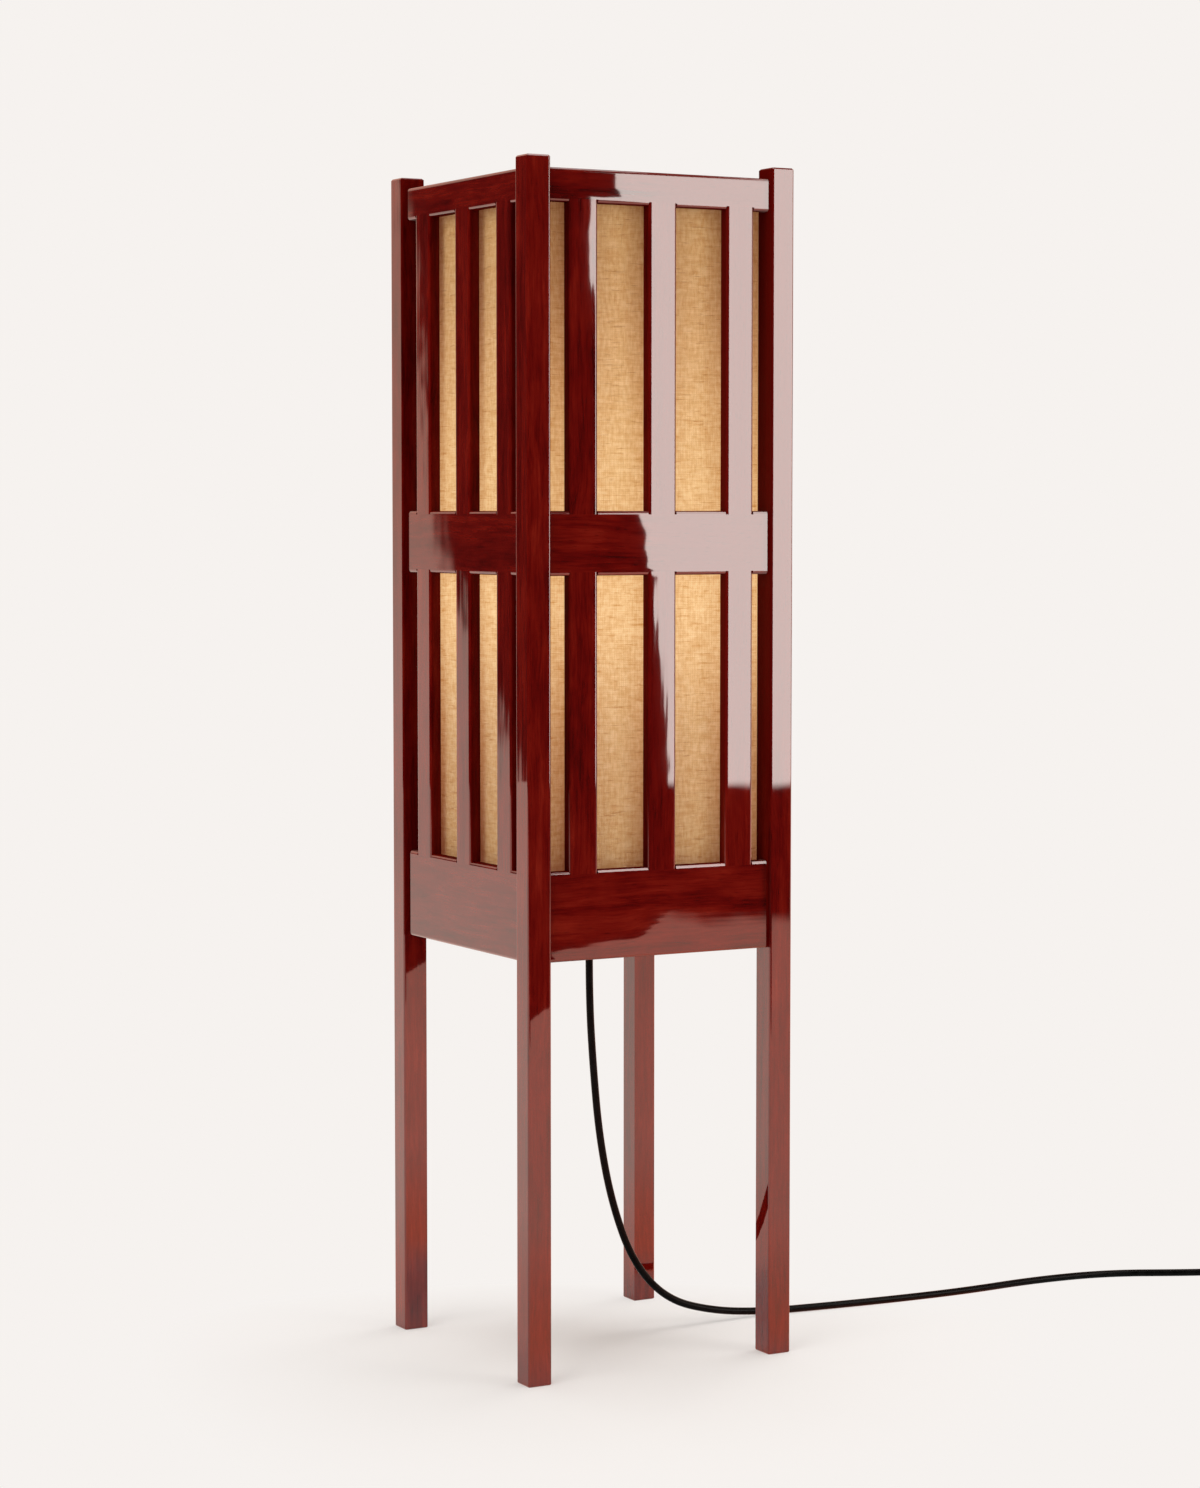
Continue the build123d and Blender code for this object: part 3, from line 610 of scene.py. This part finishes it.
dress(["board_screws"], metal("screw_steel", (0.66, 0.63, 0.56), (0.45, 0.41, 0.34), 0.25, 0.45))
dress(
    ["stem", "stem_nuts"],
    metal("stem_steel", (0.60, 0.60, 0.61), (0.42, 0.42, 0.43), 0.22, 0.42, (1, 1, 0.1)),
)
dress(
    ["holder_thread", "holder_contact"],
    metal("brass", (0.78, 0.56, 0.26), (0.55, 0.35, 0.14), 0.22, 0.42),
)
dress(["plug_blades"], metal("blade_brass", (0.80, 0.62, 0.34), (0.62, 0.45, 0.22), 0.18, 0.35))
dress(["bulb_cap"], metal("cap_metal", (0.72, 0.71, 0.69), (0.50, 0.49, 0.46), 0.20, 0.40))
dress(
    ["holder_base", "holder_shell"],
    plastic("holder_plastic", (0.020, 0.017, 0.015), 0.22, 0.36, 0.000015),
)
dress(["holder_core"], plastic("holder_ceramic", (0.76, 0.74, 0.69), 0.10, 0.22, 0.00001, 500.0))
dress(["bulb_tip"], plastic("insulator", (0.012, 0.010, 0.012), 0.12, 0.25, 0.00001))
dress(["cord_grip"], plastic("grip_plastic", (0.014, 0.014, 0.014), 0.40, 0.55, 0.00003))
dress(["coil_tie"], plastic("tie_plastic", (0.016, 0.016, 0.017), 0.35, 0.50, 0.00002))
dress(
    ["switch_case", "switch_cover"],
    plastic("switch_plastic", (0.018, 0.018, 0.018), 0.38, 0.52, 0.00004),
)
dress(["switch_rocker"], plastic("rocker_plastic", (0.030, 0.030, 0.031), 0.20, 0.32, 0.00001))
dress(["plug_body"], plastic("plug_rubber", (0.015, 0.015, 0.015), 0.42, 0.58, 0.00004))

SHEATH_BLACK, SHEATH_SHINE = (0.0008, 0.0008, 0.0008), 0.05
sheath = plastic(
    "cord_sheath", SHEATH_BLACK, 0.24, 0.34, 0.00002, 1400.0, Specular_IOR_Level=SHEATH_SHINE
)
cord_curve.materials.append(sheath)
dress(["lead_in_stem"], sheath)


def opal():
    """The lit bulb's opal glass."""
    made, tree, shader, place = material(
        "opal_glass", IOR=1.5, Emission_Color=(1.0, 0.66, 0.34, 1), Emission_Strength=3.2
    )
    mist = cloud(tree, place, 60.0, 3.0)
    milk = ramp(tree, mist, [(0.3, (0.80, 0.77, 0.70)), (0.7, (0.90, 0.88, 0.82))])
    tree.links.new(milk, shader.inputs["Base Color"])
    tree.links.new(span(tree, mist, 0.3, 0.7, 0.10, 0.18), shader.inputs["Roughness"])
    return made


dress(["bulb_glass"], opal())


# ---------------------------------------------------------------- floor, surroundings and light

BACKGROUND = (0.922, 0.888, 0.863)
FLOOR, FLECK = (0.860, 0.852, 0.840), 0.985
DARK_STUDIO = (0.020, 0.018, 0.017)

# Painted reflection, seen by glossy rays alone: the paper behind the lamp and in front of it,
# and the sweep.
PAINTED_REFLECTION_FLOOR = (1.60, 1.23, 1.06)
PAINTED_REFLECTION_FLOOR_FAR = (1.52, 1.08, 0.92)
PAINTED_REFLECTION_FLOOR_NEAR = (1.50, 0.88, 0.74)
PAINTED_REFLECTION_FRONT = (2.30, 1.12, 0.88)
PAINTED_REFLECTION_FRONT_NEAR = (2.25, 0.72, 0.47)
PAINTED_REFLECTION_SWEEP = (1.30, 0.81, 0.63)
# How their parts meet, in metres from the lamp's foot or along x and y.
MIDDLE_SOFT, NEAR, FAR = (-0.05, 0.05), (0.25, 0.90), (2.0, 6.5)
FRONT_END, RIGHT_END = (-3.27, -3.02), (1.90, 1.80)
SWITCH_PLACE, ROUND_SWITCH = (0.80, -0.17, 0), (0.30, 0.40)

# Away from the camera and to its right, over the floor.
AWAY, AWAY_RIGHT = (0.4863, 0.8738, 0), (0.8738, -0.4863, 0)
# The shadow's middle, how fast it ends behind it and in front, and from where to where. In
# the lacquer it ends sooner.
SHADOW_DEEP, SHADOW_ASIDE = 0.014, 0.011
FALL_BEHIND, FALL_IN_FRONT = 1.87, 0.69
SHADOW_END, GLOSS_SHADOW_END = (0.022, 0.436), (0.1, 0.3)

# A wide sweep of pale paper. Its front edge runs askew, well in front of the lamp.
sweep = [
    (0.90, -2.12), (0.97, -2.21), (1.03, -2.28), (1.12, -2.395), (1.22, -2.56), (1.36, -2.88),
    (1.45, -2.93), (1.56, -2.985), (1.62, -3.02), (1.73, -3.15), (1.80, -3.24), (1.87, -3.31),
    (2.0, -3.25), (2.4, -3.35), (5.0, -5.2), (7.0, 0.0), (5.0, 6.0), (0.0, 7.5), (-3.4, 6.3),
    (-6.0, 4.0), (-7.0, 0.0), (-5.0, -2.3),
]
floor_mesh = bpy.data.meshes.new("floor")
floor_mesh.from_pydata([(x, y, 0) for x, y in sweep], [], [tuple(range(len(sweep)))])
floor = placed("floor", floor_mesh)


def floor_paper():
    """Pale paper that runs up into the backdrop, so that it fades into it with the distance."""
    made = bpy.data.materials.new("floor_paper")
    tree = cleared(made)
    place = add(tree, "ShaderNodeTexCoord").outputs["Object"]
    shades = [(0.3, tuple(value * FLECK for value in FLOOR)), (0.7, FLOOR)]
    shades = ramp(tree, cloud(tree, place, 4.0, 3.0), shades)
    matt = add(tree, "ShaderNodeBsdfDiffuse", {"Color": shades})
    rays = add(tree, "ShaderNodeLightPath").outputs
    glossy = rays["Is Glossy Ray"]
    distance = vector_calc(tree, "LENGTH", place, result="Value")
    x, y, _ = split(tree, place)
    behind = span(tree, calc(tree, "SUBTRACT", y, x), *MIDDLE_SOFT)
    away = span(tree, distance, *NEAR)
    floor_on = blend(tree, span(tree, distance, *FAR), PAINTED_REFLECTION_FLOOR, PAINTED_REFLECTION_FLOOR_FAR)
    mirrored = blend(
        tree,
        behind,
        blend(tree, away, PAINTED_REFLECTION_FRONT_NEAR, PAINTED_REFLECTION_FRONT),
        blend(tree, away, PAINTED_REFLECTION_FLOOR_NEAR, floor_on),
    )
    ends = calc(tree, "MAXIMUM", span(tree, y, *FRONT_END), span(tree, x, *RIGHT_END))
    mirrored = blend(tree, ends, DARK_STUDIO, mirrored)
    # Round the switch and the plug the painted reflection gives way to the paper's own colour.
    from_switch = vector_calc(tree, "DISTANCE", place, SWITCH_PLACE, result="Value")
    mirrored = blend(tree, span(tree, from_switch, *ROUND_SWITCH), FLOOR, mirrored)
    # Camera rays see the backdrop's colour here, and glossy rays the painted reflection.
    far_colour = blend(tree, glossy, BACKGROUND, mirrored)
    far = add(tree, "ShaderNodeEmission", {"Color": far_colour, "Strength": 1.0})

    # The shadow is kept near the lamp, and ends soonest behind it.
    aside = vector_calc(tree, "DOT_PRODUCT", place, AWAY_RIGHT, result="Value")
    aside = calc(tree, "SUBTRACT", aside, SHADOW_ASIDE)
    deep = vector_calc(tree, "DOT_PRODUCT", place, AWAY, result="Value")
    deep = calc(tree, "SUBTRACT", deep, SHADOW_DEEP)
    deep_behind = calc(tree, "MULTIPLY", deep, FALL_BEHIND)
    deep = calc(tree, "MAXIMUM", deep_behind, calc(tree, "MULTIPLY", deep, -FALL_IN_FRONT))
    out = calc(tree, "MULTIPLY_ADD", aside, aside, calc(tree, "MULTIPLY", deep, deep))
    lost = span(tree, calc(tree, "SQRT", out), *SHADOW_END, way="LINEAR")
    fade = calc(tree, "MULTIPLY", lost, rays["Is Camera Ray"])
    gloss_fade = calc(tree, "MULTIPLY", span(tree, distance, *GLOSS_SHADOW_END), glossy)
    fade = calc(tree, "MAXIMUM", fade, gloss_fade)
    surface = add(tree, "ShaderNodeMixShader", {0: fade, 1: matt.outputs[0], 2: far.outputs[0]})
    add(tree, "ShaderNodeOutputMaterial", {"Surface": surface.outputs[0]})
    return made


floor_mesh.materials.append(floor_paper())

AMBIENT = (0.490, 0.452, 0.425)
# The pale sweep's left edge by direction: its slope, how that changes upward and below the
# horizon, and how soft it is.
EDGE_SLOPE, EDGE_LEAN, EDGE_BEND, EDGE_SOFT = 0.4960, -0.12, 0.30, 0.003
HORIZON, HORIZON_SOFT = -0.008, (-0.06, 0.03)
SWEEP_BACK, SWEEP_TOP, TOP_SHARE = (-0.66, -0.58), (0.35, 0.85), 0.25


def studio():
    """Painted reflection: a pale sweep behind and right of the lamp, and dark behind the camera.
    """
    made = bpy.data.worlds.new("studio")
    tree = cleared(made)
    x, y, up = split(tree, add(tree, "ShaderNodeTexCoord").outputs["Generated"])
    below = calc(tree, "MAXIMUM", calc(tree, "MULTIPLY_ADD", up, -1.0, HORIZON), 0.0)
    tilt = calc(tree, "MULTIPLY_ADD", up, EDGE_LEAN, EDGE_SLOPE)
    tilt = calc(tree, "MULTIPLY_ADD", below, EDGE_BEND, tilt)
    side = span(tree, calc(tree, "MULTIPLY_ADD", y, tilt, x), -EDGE_SOFT, EDGE_SOFT)
    pale = calc(tree, "MULTIPLY", side, span(tree, y, *SWEEP_BACK))
    pale = calc(tree, "MULTIPLY", pale, span(tree, up, *SWEEP_TOP, 1.0, TOP_SHARE))
    height = span(tree, up, *HORIZON_SOFT)
    sweep_seen = blend(tree, height, PAINTED_REFLECTION_FLOOR_FAR, PAINTED_REFLECTION_SWEEP)
    # What glossy rays alone see: painted reflection.
    seen_in_gloss = blend(tree, pale, DARK_STUDIO, sweep_seen)
    rays = add(tree, "ShaderNodeLightPath").outputs
    straight = calc(tree, "MAXIMUM", rays["Is Camera Ray"], rays["Is Transmission Ray"])
    colour = blend(tree, rays["Is Glossy Ray"], AMBIENT, seen_in_gloss)
    colour = blend(tree, straight, colour, BACKGROUND)
    sky = add(tree, "ShaderNodeBackground", {"Color": colour, "Strength": 1.0})
    add(tree, "ShaderNodeOutputWorld", {"Surface": sky.outputs[0]})
    return made


bpy.context.scene.world = studio()


def softbox(name, place, target, size, radiance, colour, upward=(0, 0, 1), mirrored=False):
    """A rectangular soft light of this radiance, its second side nearest to upward."""
    data = bpy.data.lights.new(name, "AREA")
    data.shape = "RECTANGLE"
    data.size, data.size_y = size
    data.energy = radiance * math.pi * size[0] * size[1]
    data.color = colour
    lamp = placed(name, data)
    back = (Vector(place) - Vector(target)).normalized()
    across = Vector(upward).cross(back).normalized()
    lamp.matrix_world = turned(place, across, back.cross(across), back)
    lamp.visible_camera = False
    lamp.visible_glossy = mirrored


# Four soft lights: on the left, behind on the right, in front on the right, and above.
softbox("left", (-2.2, -0.9, 1.7), (0, 0, 0.5), (2.0, 1.8), 2.6, (1.0, 0.98, 0.97))
softbox("back", (1.9, 0.5, 2.0), (0, 0, 0.3), (1.4, 1.4), 2.6, (1.0, 0.98, 0.97))
softbox("right", (1.53, -1.90, 1.0), (0.354, 0.077, 1.0), (1.0, 1.2), 3.9, (1.0, 0.95, 0.92))
softbox(
    "top", (0.1, 0.1, 2.7), (0.1, 0.1, 0), (1.6, 1.6), 3.0, (1.0, 0.98, 0.96), (0, 1, 0),
    mirrored=True,
)


CARD_LOW, CARD_LOW_SOFT = 0.359, 0.016
CARD_COLOUR = (1.0, 0.905, 0.855)
FRONT_RADIANCE, OVER_RADIANCE = 8.3, 6.5


def card(name, corners, radiance):
    """A bright card that only the lacquer mirrors, dimmer along its low edge."""
    mesh = bpy.data.meshes.new(name)
    mesh.from_pydata(corners, [], [tuple(range(len(corners)))])
    board = placed(name, mesh)
    made = bpy.data.materials.new(name)
    tree = cleared(made)
    up = split(tree, add(tree, "ShaderNodeTexCoord").outputs["Object"])[2]
    strength = span(tree, up, CARD_LOW, CARD_LOW + CARD_LOW_SOFT, 0.0, radiance)
    shine = add(tree, "ShaderNodeEmission", {"Color": (*CARD_COLOUR, 1), "Strength": strength})
    add(tree, "ShaderNodeOutputMaterial", {"Surface": shine.outputs[0]})
    mesh.materials.append(made)
    board.visible_camera = False
    board.visible_diffuse = False
    board.visible_transmission = False
    board.visible_shadow = False


# One card stands in front on the right, and one leans in over the lamp. The first one's
# outline is how far along its way, at which height.
CARD_FOOT, CARD_WAY = Vector((1.17588, -2.11069, 0)), Vector((0.85943, 0.51125, 0))
card_outline = [
    (-0.0990, 1.620), (-0.0980, 1.325), (-0.0990, 1.313), (-0.0943, 1.307), (-0.0880, 1.298),
    (-0.1353, 1.294), (-0.1369, 1.244), (-0.1353, 1.169), (-0.1290, 1.120), (-0.0900, 0.950),
    (-0.0545, 0.794), (-0.0497, 0.769), (-0.0529, 0.744), (-0.0475, 0.728), (-0.0460, 0.712),
    (-0.0306, 0.702), (-0.0312, 0.640), (-0.0257, 0.575), (-0.0177, 0.507), (-0.0145, 0.451),
    (-0.0128, 0.385), (-0.0128, 0.359), (0.96, 0.359), (0.96, 1.62),
]
card(
    "front_card",
    [CARD_FOOT + CARD_WAY * across + Vector((0, 0, up)) for across, up in card_outline],
    FRONT_RADIANCE,
)
OVER_MIDDLE = Vector((1.21, -1.10, 2.10))
OVER_ACROSS, OVER_ALONG = Vector((0.25, 0, 0)), Vector((0, 0.943, 0.555))
card(
    "over_card",
    [
        OVER_MIDDLE - OVER_ACROSS - OVER_ALONG, OVER_MIDDLE + OVER_ACROSS - OVER_ALONG,
        OVER_MIDDLE + OVER_ACROSS + OVER_ALONG, OVER_MIDDLE - OVER_ACROSS + OVER_ALONG,
    ],
    OVER_RADIANCE,
)

bpy.context.scene.view_settings.view_transform = "Standard"


# ---------------------------------------------------------------- update

bpy.context.view_layer.update()
